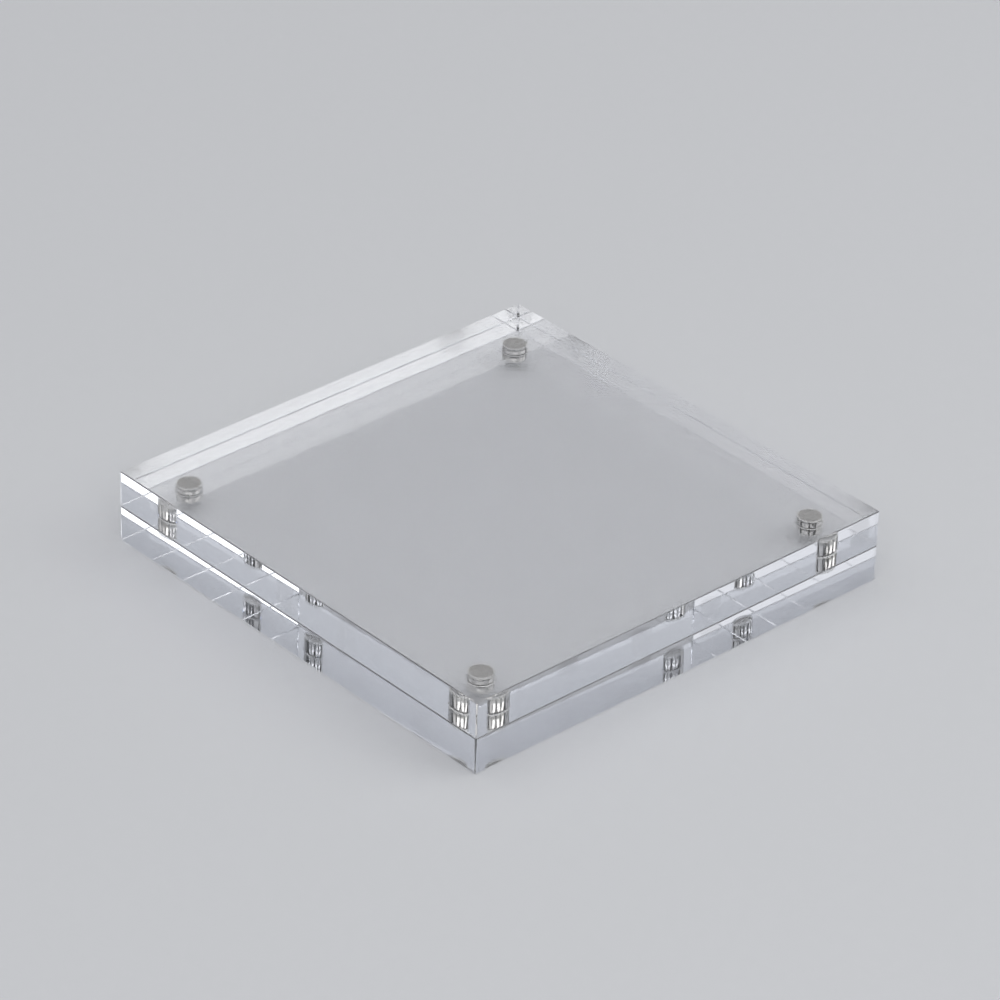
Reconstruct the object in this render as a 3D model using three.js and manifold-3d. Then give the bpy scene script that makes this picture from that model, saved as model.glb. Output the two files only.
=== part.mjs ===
// A magnetic acrylic block photo frame: two thick, clear, square panels lie face to face, and a disc magnet
// near each corner of one panel pulls on its twin in the other. A print slips between the panels once they
// are parted by hand. Millimetres, +Z up. The frame lies on its back, as on a table, so the front panel is
// on top. The origin is the middle of the back panel's outer face, and +Y points to the top of the print.

import * as THREE from 'three';
import { mergeVertices } from 'three/addons/utils/BufferGeometryUtils.js';
import Module from 'manifold-3d';

// Panels
const panelSide = 101.6;
const panelThickness = 7.65;
const edgeChamfer = 0.2;
const cornerRadius = 0.35;
const cornerSteps = 5;

// The slit for the print. With no print in it, the panels close until only a film of air is left.
const slitHeight = 0.05;

// Magnets: plated discs with rounded rims, set in from two neighbouring sides by the same distance, and sunk
// a little below the inner faces so that the panels meet before the magnets do.
const magnetDiameter = 5;
const magnetHeight = 3;
const magnetRimRadius = 0.25;
const magnetRimSteps = 2;
const magnetInset = 9.3;
const magnetRecess = 0.25;

// Blind seats in the inner faces, each with a deburred mouth and a bed of adhesive at its blind end.
const seatClearance = 0.075;
const seatMouthChamfer = 0.2;
const adhesiveThickness = 0.45;
const adhesiveEdgeClearance = 0.05;

// Facets round every magnet and seat, and how far a cutting tool runs on past the face that it opens.
const roundFacets = 40;
const cutOvershoot = 1;

// Worked out from the sizes above
const magnetRadius = magnetDiameter / 2;
const seatRadius = magnetRadius + seatClearance;
const seatDepth = magnetRecess + magnetHeight + adhesiveThickness;
const adhesiveRadius = seatRadius - adhesiveEdgeClearance;
const magnetOffset = panelSide / 2 - magnetInset;
const frameThickness = 2 * panelThickness + slitHeight;
const backMagnetHeight = panelThickness - magnetRecess - magnetHeight;
const frontMagnetHeight = panelThickness + slitHeight + magnetRecess;

const corners = [
  { name: 'top_left', x: -magnetOffset, y: magnetOffset },
  { name: 'top_right', x: magnetOffset, y: magnetOffset },
  { name: 'bottom_left', x: -magnetOffset, y: -magnetOffset },
  { name: 'bottom_right', x: magnetOffset, y: -magnetOffset },
];

const wasm = await Module();
wasm.setup();

// A closed geometry as a solid for cutting: only positions, shared corners merged, no collapsed triangles.
function toSolid(geometry) {
  const bare = geometry.clone();
  bare.deleteAttribute('normal');
  bare.deleteAttribute('uv');
  const merged = mergeVertices(bare);
  const triangles = [];
  for (let i = 0; i < merged.index.count; i += 3) {
    const corner = [merged.index.getX(i), merged.index.getX(i + 1), merged.index.getX(i + 2)];
    if (new Set(corner).size === 3) {
      triangles.push(...corner);
    }
  }
  return new wasm.Manifold(new wasm.Mesh({
    numProp: 3,
    vertProperties: new Float32Array(merged.attributes.position.array),
    triVerts: new Uint32Array(triangles),
  }));
}

function toGeometry(solid) {
  const mesh = solid.getMesh();
  const geometry = new THREE.BufferGeometry();
  geometry.setAttribute('position', new THREE.BufferAttribute(mesh.vertProperties, 3));
  geometry.setIndex(new THREE.BufferAttribute(mesh.triVerts, 1));
  geometry.computeVertexNormals();
  return geometry;
}

// A body of revolution about Z from a [radius, height] profile, which starts and ends on the axis.
function turned(profile) {
  const points = profile.map(([radius, height]) => new THREE.Vector2(radius, height));
  return new THREE.LatheGeometry(points, roundFacets).rotateX(Math.PI / 2);
}

// The square sheet with its four upright corners rounded and every long edge broken by a chamfer.
// Its outer face is at z = 0, and its inner face, which the seats are sunk into, is at the top.
function sheetGeometry() {
  const centre = panelSide / 2 - cornerRadius;
  const quarter = Math.PI / 2;
  const outline = new THREE.Shape();
  outline.absarc(centre, centre, cornerRadius, 0, quarter);
  outline.absarc(-centre, centre, cornerRadius, quarter, 2 * quarter);
  outline.absarc(-centre, -centre, cornerRadius, 2 * quarter, 3 * quarter);
  outline.absarc(centre, -centre, cornerRadius, 3 * quarter, 4 * quarter);
  const sheet = new THREE.ExtrudeGeometry(outline, {
    depth: panelThickness - 2 * edgeChamfer,
    bevelThickness: edgeChamfer,
    bevelSize: edgeChamfer,
    bevelOffset: -edgeChamfer,
    bevelSegments: 1,
    curveSegments: cornerSteps,
  });
  return sheet.translate(0, 0, edgeChamfer);
}

// What the cutter takes out for one seat: a flat-ended hole whose mouth flares at 45 degrees.
function seatCutterGeometry() {
  const reach = seatDepth + cutOvershoot;
  return turned([
    [0, 0],
    [seatRadius, 0],
    [seatRadius, seatDepth - seatMouthChamfer],
    [seatRadius + seatMouthChamfer + cutOvershoot, reach],
    [0, reach],
  ]);
}

function panelGeometry() {
  let panel = toSolid(sheetGeometry());
  for (const corner of corners) {
    const cutter = seatCutterGeometry().translate(corner.x, corner.y, panelThickness - seatDepth);
    panel = panel.subtract(toSolid(cutter));
  }
  return toGeometry(panel);
}

// A disc magnet with both rims rounded, standing on z = 0.
function magnetGeometry() {
  const flat = magnetRadius - magnetRimRadius;
  const rim = (centreHeight, startAngle) => Array.from({ length: magnetRimSteps + 1 }, (_, step) => {
    const angle = startAngle + (step / magnetRimSteps) * (Math.PI / 2);
    return [flat + magnetRimRadius * Math.cos(angle), centreHeight + magnetRimRadius * Math.sin(angle)];
  });
  return turned([
    [0, 0],
    ...rim(magnetRimRadius, -Math.PI / 2),
    ...rim(magnetHeight - magnetRimRadius, 0),
    [0, magnetHeight],
  ]);
}

// The cured bed of adhesive, pressed flat between the seat's blind end and the magnet.
function adhesiveGeometry() {
  return turned([
    [0, 0],
    [adhesiveRadius, 0],
    [adhesiveRadius, adhesiveThickness],
    [0, adhesiveThickness],
  ]);
}

const clearAcrylic = {
  color: 0xe9eff3,
  roughness: 0.05,
  metalness: 0,
  transparent: true,
  opacity: 0.25,
};
const nickelPlate = { color: 0xb9b8b4, roughness: 0.25, metalness: 1 };
const curedAdhesive = { color: 0xdcdcd2, roughness: 0.3, metalness: 0, transparent: true, opacity: 0.5 };

function addMesh(group, name, geometry, finish, x, y, z) {
  const mesh = new THREE.Mesh(geometry, new THREE.MeshStandardMaterial(finish));
  mesh.name = name;
  mesh.position.set(x, y, z);
  group.add(mesh);
  return mesh;
}

const photoFrame = new THREE.Group();
const backHalf = new THREE.Group();
const frontHalf = new THREE.Group();
photoFrame.add(backHalf, frontHalf);

// Both panels are the same piece: the front one is turned over, so that its seats face down.
addMesh(backHalf, 'back_panel', panelGeometry(), clearAcrylic, 0, 0, 0);
const frontPanel = addMesh(frontHalf, 'front_panel', panelGeometry(), clearAcrylic, 0, 0, frameThickness);
frontPanel.rotation.x = Math.PI;

// The magnets of a pair face each other across the slit, each with its adhesive behind it.
for (const { name, x, y } of corners) {
  const backAdhesiveHeight = backMagnetHeight - adhesiveThickness;
  const frontAdhesiveHeight = frontMagnetHeight + magnetHeight;
  addMesh(backHalf, `back_magnet_${name}`, magnetGeometry(), nickelPlate, x, y, backMagnetHeight);
  addMesh(backHalf, `back_adhesive_${name}`, adhesiveGeometry(), curedAdhesive, x, y, backAdhesiveHeight);
  addMesh(frontHalf, `front_magnet_${name}`, magnetGeometry(), nickelPlate, x, y, frontMagnetHeight);
  addMesh(frontHalf, `front_adhesive_${name}`, adhesiveGeometry(), curedAdhesive, x, y, frontAdhesiveHeight);
}

export default photoFrame;
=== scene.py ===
# %% [markdown]
# # A clear block photo frame
# The object is two thick, square sheets of clear acrylic that lie face to face. A plated disc magnet near
# each corner of one sheet pulls on its twin in the other, so the sheets hold a print between them with no
# screws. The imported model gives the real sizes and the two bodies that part. This script adds only what the
# eye sees: polished edges, bright plating, cured adhesive, light and a camera.

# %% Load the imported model
import math

import bmesh
import bpy
from mathutils import Matrix, Quaternion, Vector


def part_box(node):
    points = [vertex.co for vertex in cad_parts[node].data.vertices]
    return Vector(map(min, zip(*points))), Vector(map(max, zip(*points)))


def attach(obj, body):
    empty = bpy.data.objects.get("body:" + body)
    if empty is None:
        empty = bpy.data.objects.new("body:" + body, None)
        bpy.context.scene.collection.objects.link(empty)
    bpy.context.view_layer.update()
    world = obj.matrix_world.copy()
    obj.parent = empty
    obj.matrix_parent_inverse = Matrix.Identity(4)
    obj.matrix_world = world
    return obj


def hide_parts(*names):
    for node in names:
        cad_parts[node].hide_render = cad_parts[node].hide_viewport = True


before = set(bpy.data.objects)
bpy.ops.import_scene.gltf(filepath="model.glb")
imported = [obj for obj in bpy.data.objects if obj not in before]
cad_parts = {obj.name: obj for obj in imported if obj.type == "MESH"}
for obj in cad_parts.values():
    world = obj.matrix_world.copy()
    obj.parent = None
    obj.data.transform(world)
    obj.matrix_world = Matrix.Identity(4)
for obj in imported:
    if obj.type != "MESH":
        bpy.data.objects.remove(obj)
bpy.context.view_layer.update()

# %% [markdown]
# ## Sizes
# Every piece takes its place from its own node, so nothing is fitted by eye. A node's box can't tell how an
# edge is broken or how wide a hole's lip is, so those few sizes are written here, as on a drawing. Blender
# works in metres, and one named factor keeps the numbers readable in millimetres.

# %% Name the sizes
MM = 0.001
edge_break = 0.2 * MM
corner_radius = 0.35 * MM
magnet_rim = 0.25 * MM
seat_clearance = 0.075 * MM
seat_mouth = 0.2 * MM
film_gap = 0.02 * MM
film_bulge = 0.04 * MM
pale_rim = 0.3 * MM
halves = ("back", "front")
corners = ("top_left", "top_right", "bottom_left", "bottom_right")


def node_box(name):
    low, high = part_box(name)
    return Vector(low), Vector(high)


sheet_low, sheet_high = node_box("back_panel")
print("one sheet, mm:", [round(v / MM, 2) for v in sheet_high - sheet_low])

# %% [markdown]
# ## Shader sums
# A finish is a small sum: a bit of noise, a threshold, a scale. Wiring each sum by hand hides what it says,
# so one class wraps a socket and lets Python's own signs add the Math nodes. Any other kind of node comes
# from one method, which sets the node up first and then plugs its sockets.


# %% Write shader sums as Python
class Wire:
    """A socket in a node tree. Signs such as + and * add Math nodes, and node() adds any other kind."""

    def __init__(self, tree, socket=None):
        self.tree = tree
        self.socket = socket

    def node(self, kind, settings=None, inputs=None, output=0):
        made = self.tree.nodes.new(kind)
        for name, value in (settings or {}).items():
            if name == "stops":
                self.set_stops(made.color_ramp.elements, value)
            else:
                setattr(made, name, value)
        for name, value in (inputs or {}).items():
            self.plug(made.inputs[name], value)
        return Wire(self.tree, made.outputs[output]) if made.outputs else None

    def set_stops(self, elements, stops):
        while len(elements) < len(stops):
            elements.new(1.0)
        for element, (place, colour) in zip(elements, stops):
            element.position = place
            element.color = colour

    def plug(self, socket, value):
        if isinstance(value, Wire):
            self.tree.links.new(value.socket, socket)
        else:
            socket.default_value = value

    def math(self, operation, first, second):
        return self.node("ShaderNodeMath", {"operation": operation}, {0: first, 1: second})

    def __add__(self, other):
        return self.math("ADD", self, other)

    def __radd__(self, other):
        return self.math("ADD", other, self)

    def __sub__(self, other):
        return self.math("SUBTRACT", self, other)

    def __rsub__(self, other):
        return self.math("SUBTRACT", other, self)

    def __mul__(self, other):
        return self.math("MULTIPLY", self, other)

    def __rmul__(self, other):
        return self.math("MULTIPLY", other, self)

    def __gt__(self, other):
        return self.math("GREATER_THAN", self, other)

    def __lt__(self, other):
        return self.math("LESS_THAN", self, other)

    def __abs__(self):
        return self.math("ABSOLUTE", self, 0.0)


def new_finish(name):
    """A material with an empty tree, and the wire to build it with."""
    material = bpy.data.materials.new(name)
    material.use_nodes = True
    material.node_tree.nodes.clear()
    return material, Wire(material.node_tree)


print("signs that add a Math node: + - * > < abs")

# %% [markdown]
# ## Where a finish is on the piece
# Each finish asks the same things: where am I on the object, do I face up or sideways, and am I on an edge?
# Object coordinates answer the first in metres, so a noise scale of 1000 has grains of about a millimetre.
# The second is the upright part of the normal, which is 1 on a broad face and 0 on a side. A face that
# looks along no axis at all belongs to an edge, so the longest part of its normal answers the third.


# %% Ask for place, facing and noise
def place_on(wire):
    return wire.node("ShaderNodeTexCoord", output="Object")


def facing(wire, axis):
    normal = wire.node("ShaderNodeTexCoord", output="Normal")
    return abs(wire.node("ShaderNodeSeparateXYZ", inputs={0: normal}, output=axis))


def facing_up(wire):
    return facing(wire, "Z")


def on_edge(wire):
    """1 on a broken edge and 0 on a face that looks along an axis."""
    longest = wire.math("MAXIMUM", facing(wire, "X"), facing(wire, "Y"))
    return wire.math("MAXIMUM", longest, facing_up(wire)) < 0.998


def noise(wire, scale, detail=2.0, turn=(0.0, 0.0, 0.0)):
    """Noise whose grains have a scale of their own along each axis, after a turn."""
    grid = wire.node("ShaderNodeMapping", inputs={"Vector": place_on(wire), "Rotation": turn, "Scale": scale})
    return wire.node("ShaderNodeTexNoise", inputs={"Vector": grid, "Scale": 1.0, "Detail": detail})


def rise(value, start, end):
    """0 below the start, 1 above the end, and a smooth step between them."""
    return value.node("ShaderNodeMapRange", {"interpolation_type": "SMOOTHSTEP"}, {
        "Value": value,
        "From Min": start,
        "From Max": end,
    })


print("helpers: place_on, facing, facing_up, on_edge, noise, rise")

# %% [markdown]
# ## Clear acrylic
# Cast acrylic is water clear through its thickness and turns faintly blue along its length. A tinted
# surface would colour both alike, so the tint is a Volume Absorption, which counts the way that light has
# gone inside. The broad faces are as cast, with a few hairline wipe marks. The sides are cut and then
# polished with a diamond tool, which leaves the finest of upright lines. A scraper breaks the sharp edges
# last and leaves them a trace matt, so a little matt white is mixed in there. Much more of it would hide
# the lines of light that the edges throw back from deep inside the sheet.


# %% Make the acrylic finish
def acrylic_finish():
    material, wire = new_finish("polished_acrylic")
    up = facing_up(wire)
    haze = noise(wire, (60, 60, 60), 3.0)
    wipe_marks = noise(wire, (30, 2600, 30), 1.0, (0, 0, 0.6)) > 0.78
    tool_lines = noise(wire, (2400, 2400, 50), 1.0)
    edge = on_edge(wire)
    bump = wire.node("ShaderNodeBump", inputs={
        "Strength": 0.01,
        "Distance": 0.01 * MM,
        "Height": tool_lines * (1 - up),
    })
    glass = wire.node("ShaderNodeBsdfPrincipled", inputs={
        "Base Color": (1.0, 1.0, 1.0, 1.0),
        "Roughness": 0.002 + 0.008 * haze + 0.10 * (wipe_marks * up * haze) + 0.03 * edge,
        "IOR": 1.49,
        "Transmission Weight": 1.0,
        "Normal": bump,
    })
    scraped = wire.node("ShaderNodeBsdfPrincipled", inputs={
        "Base Color": (0.86, 0.87, 0.89, 1.0),
        "Roughness": 0.5,
    })
    surface = wire.node("ShaderNodeMixShader", inputs={
        0: edge * (0.04 + 0.12 * haze),
        1: glass,
        2: scraped,
    })
    tint = wire.node("ShaderNodeVolumeAbsorption", inputs={
        "Color": (0.87, 0.90, 0.97, 1.0),
        "Density": 6.0,
    })
    wire.node("ShaderNodeOutputMaterial", inputs={"Surface": surface, "Volume": tint})
    return material


clear_acrylic = acrylic_finish()
print("finish:", clear_acrylic.name)

# %% [markdown]
# ## Wetted seat
# Each magnet is glued into a blind hole. Cured adhesive bends light almost as acrylic does, so where it wets
# the hole the wall disappears and the plating is seen as if it were cast in. A glass shader on the wall would
# mirror like an air gap. This finish lets light straight through and keeps only a faint milky veil. In the
# slanted lip a dense pale matt ring is mixed in as a painted highlight, standing in for a bright ring of
# light.


# %% Make the wetted finish
def wetted_finish():
    material, wire = new_finish("wetted_seat")
    veil = wire.node("ShaderNodeBsdfPrincipled", inputs={
        "Base Color": (0.86, 0.86, 0.85, 1.0),
        "Roughness": 0.35,
    })
    clear = wire.node("ShaderNodeBsdfTransparent")
    cloud = noise(wire, (900, 900, 200))
    up = facing_up(wire)
    drilled_end = up > 0.9
    # Painted highlight: a dense pale matt ring in the slanted lip, standing in for a bright ring of light at
    # the mouth.
    painted_highlight_ring = (up > 0.45) * (up < 0.9)
    through = wire.node("ShaderNodeMixShader", inputs={
        0: (0.02 + 0.05 * drilled_end) * cloud + 0.80 * painted_highlight_ring,
        1: clear,
        2: veil,
    })
    wire.node("ShaderNodeOutputMaterial", inputs={"Surface": through})
    return material


wetted_seat = wetted_finish()
print("finish:", wetted_seat.name)

# %% [markdown]
# ## Nickel plate
# The magnets are pressed powder under bright nickel. Plating copies what is beneath it: the ends were
# ground flat and are satin, rougher than the wall and the tumbled rims, and their colour is a painted shade
# darker than the rims', with a random mottle. The press leaves fine upright grooves in the wall as a bump,
# and dark upright streaks are painted into the wall's colour along them as a painted reflection of a dim
# room.
# Three materials would need their faces sorted, so one finish does it all by asking which way the metal
# faces.


# %% Make the nickel finish
def nickel_finish():
    material, wire = new_finish("bright_nickel")
    up = facing_up(wire)
    end = up > 0.99
    mottle = noise(wire, (1500, 1500, 1500), 3.0)
    # Painted reflection: along the grooves the wall's colour is painted near black, standing in for the dark
    # streaks of a mirrored room. The same noise also drives the grooves' bump.
    press_grooves_and_painted_streaks = noise(wire, (1700, 1700, 40), 1.0)
    between_painted_streaks = rise(press_grooves_and_painted_streaks, 0.36, 0.46)
    # Painted shade: the flat ends are painted a darker grey than the wall and rims, with a random mottle on
    # top.
    colour = wire.node("ShaderNodeMix", {"data_type": "RGBA"}, {
        "Factor": end * (0.68 + 0.28 * mottle) + (1 - end) * (up + (1 - up) * between_painted_streaks),
        "A": (0.10, 0.10, 0.10, 1.0),
        "B": (0.72, 0.71, 0.69, 1.0),
    }, output="Result")
    bump = wire.node("ShaderNodeBump", inputs={
        "Strength": 0.6,
        "Distance": 0.02 * MM,
        "Height": press_grooves_and_painted_streaks * (1 - up),
    })
    metal = wire.node("ShaderNodeBsdfPrincipled", inputs={
        "Base Color": colour,
        "Metallic": 1.0,
        "Roughness": 0.08 + 0.24 * end + 0.06 * mottle,
        "Normal": bump,
    })
    wire.node("ShaderNodeOutputMaterial", inputs={"Surface": metal})
    return material


nickel_plate = nickel_finish()
print("finish:", nickel_plate.name)

# %% [markdown]
# ## Cured adhesive
# The adhesive behind each magnet is a film pressed flat. It is nearly clear, a little cloudy, and holds a few
# pinhead bubbles. Round its rim a pale matt ring is mixed in as a painted highlight, standing in for a bright
# ring of light round the magnet's edge. Most of the film lets light straight through: cloud, bubbles and the
# painted ring only decide how much of a pale film is mixed in. The ring is found by how far a point is from
# the magnet's axis, which is alike in all four corners once the signs are dropped.


# %% Make the adhesive finish
film_low, film_high = node_box("front_adhesive_top_right")
disc_axis = (film_low.x + film_high.x) / 2
film_radius = (film_high.x - film_low.x) / 2


def from_axis(wire, axis):
    """How far a point lies from the axis of its magnet along X or Y."""
    place = wire.node("ShaderNodeSeparateXYZ", inputs={0: place_on(wire)}, output=axis)
    return abs(place) - disc_axis


def adhesive_finish():
    material, wire = new_finish("cured_film")
    cloud = noise(wire, (700, 700, 700))
    cells = wire.node("ShaderNodeTexVoronoi", inputs={"Vector": place_on(wire), "Scale": 1800.0})
    bubbles = cells < 0.16
    across = from_axis(wire, "X")
    along = from_axis(wire, "Y")
    # Painted highlight: a pale matt ring round the film's rim, standing in for a bright ring of light at the
    # magnet's edge.
    painted_highlight_ring = across * across + along * along > (film_radius - pale_rim) ** 2
    film = wire.node("ShaderNodeBsdfPrincipled", inputs={
        "Base Color": (0.90, 0.90, 0.88, 1.0),
        "Roughness": 0.3,
    })
    clear = wire.node("ShaderNodeBsdfTransparent")
    through = wire.node("ShaderNodeMixShader", inputs={
        0: 0.02 + 0.04 * cloud + 0.10 * bubbles + 0.60 * painted_highlight_ring,
        1: clear,
        2: film,
    })
    wire.node("ShaderNodeOutputMaterial", inputs={"Surface": through})
    return material


cured_adhesive = adhesive_finish()
print("finish:", cured_adhesive.name)

# %% [markdown]
# ## From bmesh to piece
# Every shape below is made with bmesh operators and then becomes a piece in the same way. A face that looks
# straight along an axis is flat on the real object, so it is shaded flat: smooth shading there would bend the
# light like a lens. All other faces belong to rounded edges and are shaded smooth.


# %% Turn a bmesh into a piece
same_height = 1e-7


def pick(geometry, kind):
    return [part for part in geometry if isinstance(part, kind)]


def level_edges(shape):
    return [e for e in shape.edges if abs(e.verts[0].co.z - e.verts[1].co.z) < same_height]


def upright_edges(shape):
    return [e for e in shape.edges if abs(e.verts[0].co.z - e.verts[1].co.z) > same_height]


def round_edges(shape, edges, radius, segments):
    bmesh.ops.bevel(shape, geom=edges, offset=radius, offset_type="OFFSET", affect="EDGES",
                    segments=segments, profile=0.5, material=-1)


def add_piece(shape, name, node, half, finishes):
    """A finished piece at the origin that rides with its half and stands for a node."""
    bmesh.ops.recalc_face_normals(shape, faces=shape.faces[:])
    for face in shape.faces:
        face.smooth = max(abs(v) for v in face.normal) < 0.9999
    mesh = bpy.data.meshes.new(name)
    shape.to_mesh(mesh)
    shape.free()
    for finish in finishes:
        mesh.materials.append(finish)
    piece = bpy.data.objects.new(name, mesh)
    bpy.context.scene.collection.objects.link(piece)
    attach(piece, f"{half}_half")
    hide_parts(node)
    return piece


print("helpers: pick, level_edges, upright_edges, round_edges, add_piece")

# %% [markdown]
# ## The sheets
# A sheet starts as a block. Its four upright edges are rounded first and its long edges after that, because
# the bevel tool then carries the small round neatly past the corners. The breaks are tiny, as polished stock
# has them, yet without them every edge would look like a computer's.


# %% Block out a sheet
corner_steps = 6
edge_steps = 3


def start_block(low, high):
    shape = bmesh.new()
    bmesh.ops.create_cube(shape, size=1.0)
    bmesh.ops.scale(shape, vec=high - low, verts=shape.verts)
    bmesh.ops.translate(shape, vec=(low + high) / 2, verts=shape.verts)
    round_edges(shape, upright_edges(shape), corner_radius, corner_steps)
    round_edges(shape, level_edges(shape), edge_break, edge_steps)
    return shape


print("edge breaks, mm:", edge_break / MM, corner_radius / MM)

# %% [markdown]
# ## The magnet seats
# A drill of the right width sinks each blind seat into the inner face, and a touch of the countersink takes
# off the burr. A Boolean could cut the holes, but it leaves stray points. Here the inner face is taken out
# and filled again around four circles, and each circle is extruded inwards: once for the lip and once for
# the wall. The rings between lip, wall and blind end are marked sharp, so that the shading of one doesn't
# run on into the next.


# %% Open the mouths
round_facets = 96


def open_mouths(shape, half, inner_height):
    """Fills the inner face again with a round opening under each magnet, and tells where they are."""
    level_faces = [f for f in shape.faces if abs(f.normal.z) > 0.999]
    inner = [f for f in level_faces if abs(f.calc_center_median().z - inner_height) < same_height]
    border = [e for f in inner for e in f.edges]
    outward = inner[0].normal.copy()
    bmesh.ops.delete(shape, geom=inner, context="FACES_ONLY")
    mouths = []
    for corner in corners:
        low, high = node_box(f"{half}_magnet_{corner}")
        bed_low, bed_high = node_box(f"{half}_adhesive_{corner}")
        blind_end = bed_low.z if half == "back" else bed_high.z
        centre = Vector(((low.x + high.x) / 2, (low.y + high.y) / 2, inner_height))
        radius = (high.x - low.x) / 2 + seat_clearance
        ring = bmesh.ops.create_circle(shape, segments=round_facets, radius=radius + seat_mouth,
                                       matrix=Matrix.Translation(centre))
        edges = list({e for v in ring["verts"] for e in v.link_edges})
        mouths.append((edges, centre, radius, abs(blind_end - inner_height)))
    rims = [e for edges, *_ in mouths for e in edges]
    bmesh.ops.triangle_fill(shape, use_beauty=True, use_dissolve=False, edges=border + rims, normal=outward)
    return mouths, -outward


print("facets round a seat:", round_facets)


# %% Sink the seats
def sink_seat(shape, mouth, inward):
    """Extrudes one opening into a lip and a wall, closes its blind end, and marks what the adhesive wets."""
    edges, centre, radius, depth = mouth
    lip = bmesh.ops.extrude_edge_only(shape, edges=edges)["geom"]
    lip_verts = pick(lip, bmesh.types.BMVert)
    shrink = radius / (radius + seat_mouth)
    bmesh.ops.scale(shape, vec=(shrink, shrink, 1), space=Matrix.Translation(-centre), verts=lip_verts)
    bmesh.ops.translate(shape, vec=inward * seat_mouth, verts=lip_verts)
    wall = bmesh.ops.extrude_edge_only(shape, edges=pick(lip, bmesh.types.BMEdge))["geom"]
    bmesh.ops.translate(shape, vec=inward * (depth - seat_mouth), verts=pick(wall, bmesh.types.BMVert))
    end = bmesh.ops.edgeloop_fill(shape, edges=pick(wall, bmesh.types.BMEdge))["faces"]
    for edge in edges + pick(lip, bmesh.types.BMEdge) + pick(wall, bmesh.types.BMEdge):
        edge.smooth = False
    for face in pick(lip, bmesh.types.BMFace) + pick(wall, bmesh.types.BMFace) + end:
        face.material_index = 1


for half in halves:
    low, high = node_box(f"{half}_panel")
    shape = start_block(low, high)
    mouths, inward = open_mouths(shape, half, high.z if half == "back" else low.z)
    for mouth in mouths:
        sink_seat(shape, mouth, inward)
    finishes = (clear_acrylic, wetted_seat)
    sheet = add_piece(shape, f"{half}_sheet", f"{half}_panel", half, finishes)
    print(sheet.name, "faces:", len(sheet.data.polygons), "seat depth, mm:", round(mouths[0][3] / MM, 2))

# %% [markdown]
# ## The magnets
# Each magnet is a short disc whose two rims are tumbled round before plating. Those rims matter more than
# their size tells: they catch a thin ring of light at a disc's edge, and a fine dark ring shows where the two
# discs of a pair face each other across the slit.


# %% Make the magnets
rim_steps = 5


def start_disc(low, high, facets):
    shape = bmesh.new()
    radius = (high.x - low.x) / 2
    bmesh.ops.create_cone(shape, cap_ends=True, segments=facets, radius1=radius, radius2=radius,
                          depth=high.z - low.z, matrix=Matrix.Translation((low + high) / 2))
    return shape


for half in halves:
    for corner in corners:
        node = f"{half}_magnet_{corner}"
        low, high = node_box(node)
        shape = start_disc(low, high, round_facets)
        round_edges(shape, level_edges(shape), magnet_rim, rim_steps)
        add_piece(shape, f"{half}_disc_{corner}", node, half, (nickel_plate,))
print("magnet, mm:", [round(v / MM, 2) for v in high - low])

# %% [markdown]
# ## The adhesive
# A magnet pressed onto a drop of adhesive spreads it into a thin round film whose rim bulges a little. Two
# faces in exactly the same place flicker in a render, so the film keeps a hair's breadth from its neighbours.

# %% Make the adhesive films
film_facets = 64
bulge_steps = 3
hair = Vector((0, 0, film_gap))
for half in halves:
    for corner in corners:
        node = f"{half}_adhesive_{corner}"
        low, high = node_box(node)
        shape = start_disc(low + hair, high - hair, film_facets)
        round_edges(shape, level_edges(shape), film_bulge, bulge_steps)
        add_piece(shape, f"{half}_film_{corner}", node, half, (cured_adhesive,))
print("film, mm:", [round(v / MM, 2) for v in high - low - 2 * hair])

# %% [markdown]
# ## The floor
# Clear stock shows nothing of its own: it bends and mirrors what is round it. A pale, plain floor is
# therefore half of this picture. It lies a tenth of a millimetre under the frame, because the real one
# rests on air too, and that film of air is what makes the underside mirror.

# %% Lay the floor
floor_drop = 0.1 * MM
floor_reach = 3.0
floor_finish, wire = new_finish("pale_floor")
grain = noise(wire, (400, 400, 400), 3.0)
tone = wire.node("ShaderNodeMix", {"data_type": "RGBA"}, {
    "Factor": grain,
    "A": (0.595, 0.605, 0.62, 1.0),
    "B": (0.615, 0.625, 0.64, 1.0),
}, output="Result")
paint = wire.node("ShaderNodeBsdfPrincipled", inputs={
    "Base Color": tone,
    "Roughness": 0.9,
    "Specular IOR Level": 0.1,
})
wire.node("ShaderNodeOutputMaterial", inputs={"Surface": paint})
shape = bmesh.new()
floor_place = Matrix.Translation((0, 0, -floor_drop))
bmesh.ops.create_grid(shape, x_segments=1, y_segments=1, size=floor_reach, matrix=floor_place)
mesh = bpy.data.meshes.new("floor")
shape.to_mesh(mesh)
shape.free()
mesh.materials.append(floor_finish)
floor = bpy.data.objects.new("floor", mesh)
bpy.context.scene.collection.objects.link(floor)
print("floor, m:", [round(v, 1) for v in floor.dimensions])

# %% [markdown]
# ## The room's light
# The room is as bright at the horizon as the far floor, so that a low view has no hard line behind the
# object, and dimmer above that. Clear sheets mirror the dim part in their top faces, which keeps them clear
# to look into. Overhead the room glows: a ceiling lamp would light only what is near it, while the glow
# lights the floor alike out to the horizon. A weaker glow on the left gives the right side its pale bands.
# A lamp could do that too, but in some views the top face would mirror the lamp's hard border as a line.


# %% Light the room
def grey(level):
    return (level, level, level * 1.02, 1.0)


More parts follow.
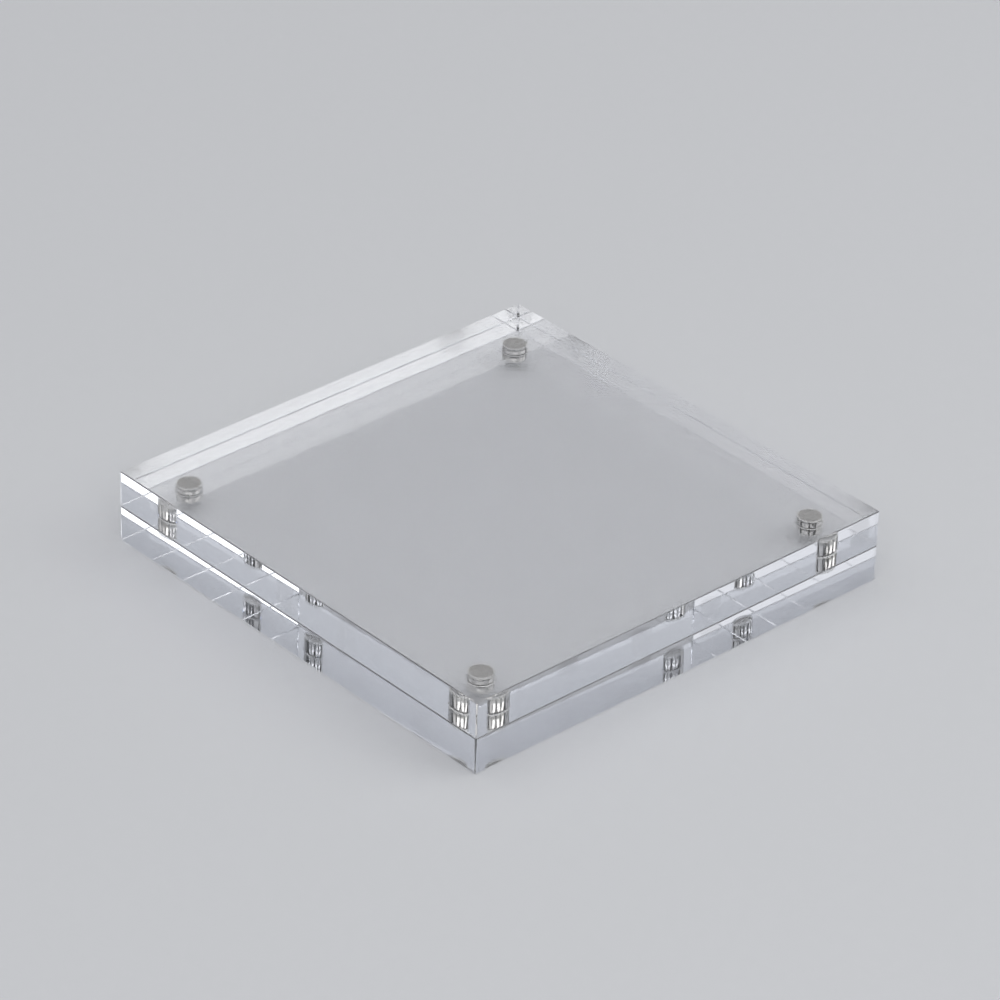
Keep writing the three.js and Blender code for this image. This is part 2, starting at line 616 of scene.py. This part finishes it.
to_the_left = (-0.7071, 0.7071, 0.0)
world = bpy.data.worlds.new("studio")
bpy.context.scene.world = world
world.use_nodes = True
world.node_tree.nodes.clear()
wire = Wire(world.node_tree)
direction = wire.node("ShaderNodeTexCoord", output="Generated")
height = wire.node("ShaderNodeSeparateXYZ", inputs={0: direction}, output="Z")
room = wire.node("ShaderNodeValToRGB", {"stops": [
    (0.00, grey(0.42)),
    (0.12, grey(0.42)),
    (0.30, grey(0.30)),
    (0.62, grey(0.30)),
    (0.80, grey(1.10)),
]}, {0: height})
leftward = wire.node("ShaderNodeVectorMath", {"operation": "DOT_PRODUCT"}, {
    0: direction,
    1: to_the_left,
}, output="Value")
lit_room = wire.node("ShaderNodeMix", {"data_type": "RGBA"}, {
    "Factor": rise(leftward, 0.55, 0.75) * rise(height, 0.34, 0.56),
    "A": room,
    "B": grey(0.75),
}, output="Result")
backdrop = wire.node("ShaderNodeBackground", inputs={"Color": lit_room, "Strength": 1.0})
wire.node("ShaderNodeOutputWorld", inputs={"Surface": backdrop})
print("world:", world.name)

# %% [markdown]
# ## The softboxes
# Two soft lamps do the rest. The key stands on the right, and the left side mirrors it as a clean white
# band. The other stands in front and lights the magnets' walls, which are seen through the sides. Both keep
# their lower border well above the horizon, because a lamp that reaches down there is mirrored by the whole
# top face in a low view and turns it white. A lamp's power is worked out from how bright its cloth should
# look, so 1 is white paper in the picture.


# %% Set the softboxes
def softbox(name, place, width, height, brightness):
    lamp = bpy.data.lights.new(name, "AREA")
    lamp.shape = "RECTANGLE"
    lamp.size = width
    lamp.size_y = height
    lamp.energy = brightness * math.pi * width * height
    box = bpy.data.objects.new(name, lamp)
    box.location = place
    box.rotation_euler = Vector(place).to_track_quat("Z", "Y").to_euler()
    bpy.context.scene.collection.objects.link(box)
    print(name, "watts:", round(lamp.energy, 2))


softbox("key_softbox", (0.62, -0.60, 0.65), width=0.9, height=0.5, brightness=1.5)
softbox("front_softbox", (-0.75, -0.80, 0.80), width=1.2, height=0.5, brightness=1.8)

# %% [markdown]
# ## The camera
# The camera looks along a diagonal of the frame, from about 32 degrees above it. Its angle, lens and distance
# come from fitting a pinhole camera to the corners of the sheets, so they are written as that fit gave them.

# %% Set the camera
view_azimuth = math.radians(-42.888)
view_elevation = math.radians(31.776)
view_roll = math.radians(1.888)
view_distance = 992.45 * MM
view_lens = 189.25
aim = Vector((0.16, -0.15, 13.38)) * MM
level = math.cos(view_elevation)
back = Vector((math.sin(view_azimuth) * level, -math.cos(view_azimuth) * level, math.sin(view_elevation)))
camera = bpy.data.objects.new("camera", bpy.data.cameras.new("camera"))
camera.data.lens = view_lens
camera.data.clip_start = 10 * MM
camera.location = aim + back * view_distance
turn = back.to_track_quat("Z", "Y") @ Quaternion((0, 0, 1), view_roll)
camera.rotation_euler = turn.to_euler()
bpy.context.scene.collection.objects.link(camera)
bpy.context.scene.camera = camera
print("camera at, m:", [round(v, 3) for v in camera.location])

# %% [markdown]
# ## Light inside clear stock
# A ray that enters a sheet from the side is mirrored many times before it leaves, so it needs far more
# bounces than Blender gives by default. Filter Glossy is turned off too: it blurs glass after the first
# matt bounce, and the floor seen through the frame would turn dark. The denoiser is given colour alone,
# because its other guides show only the first surface that a ray meets, and those are noisy where that
# surface is clear.

# %% Let light bounce
scene = bpy.context.scene
scene.view_settings.view_transform = "Standard"
scene.cycles.max_bounces = 32
scene.cycles.transmission_bounces = 32
scene.cycles.glossy_bounces = 16
scene.cycles.transparent_max_bounces = 32
scene.cycles.blur_glossy = 0.0
scene.cycles.denoising_input_passes = "RGB"
print("bounces:", scene.cycles.max_bounces)
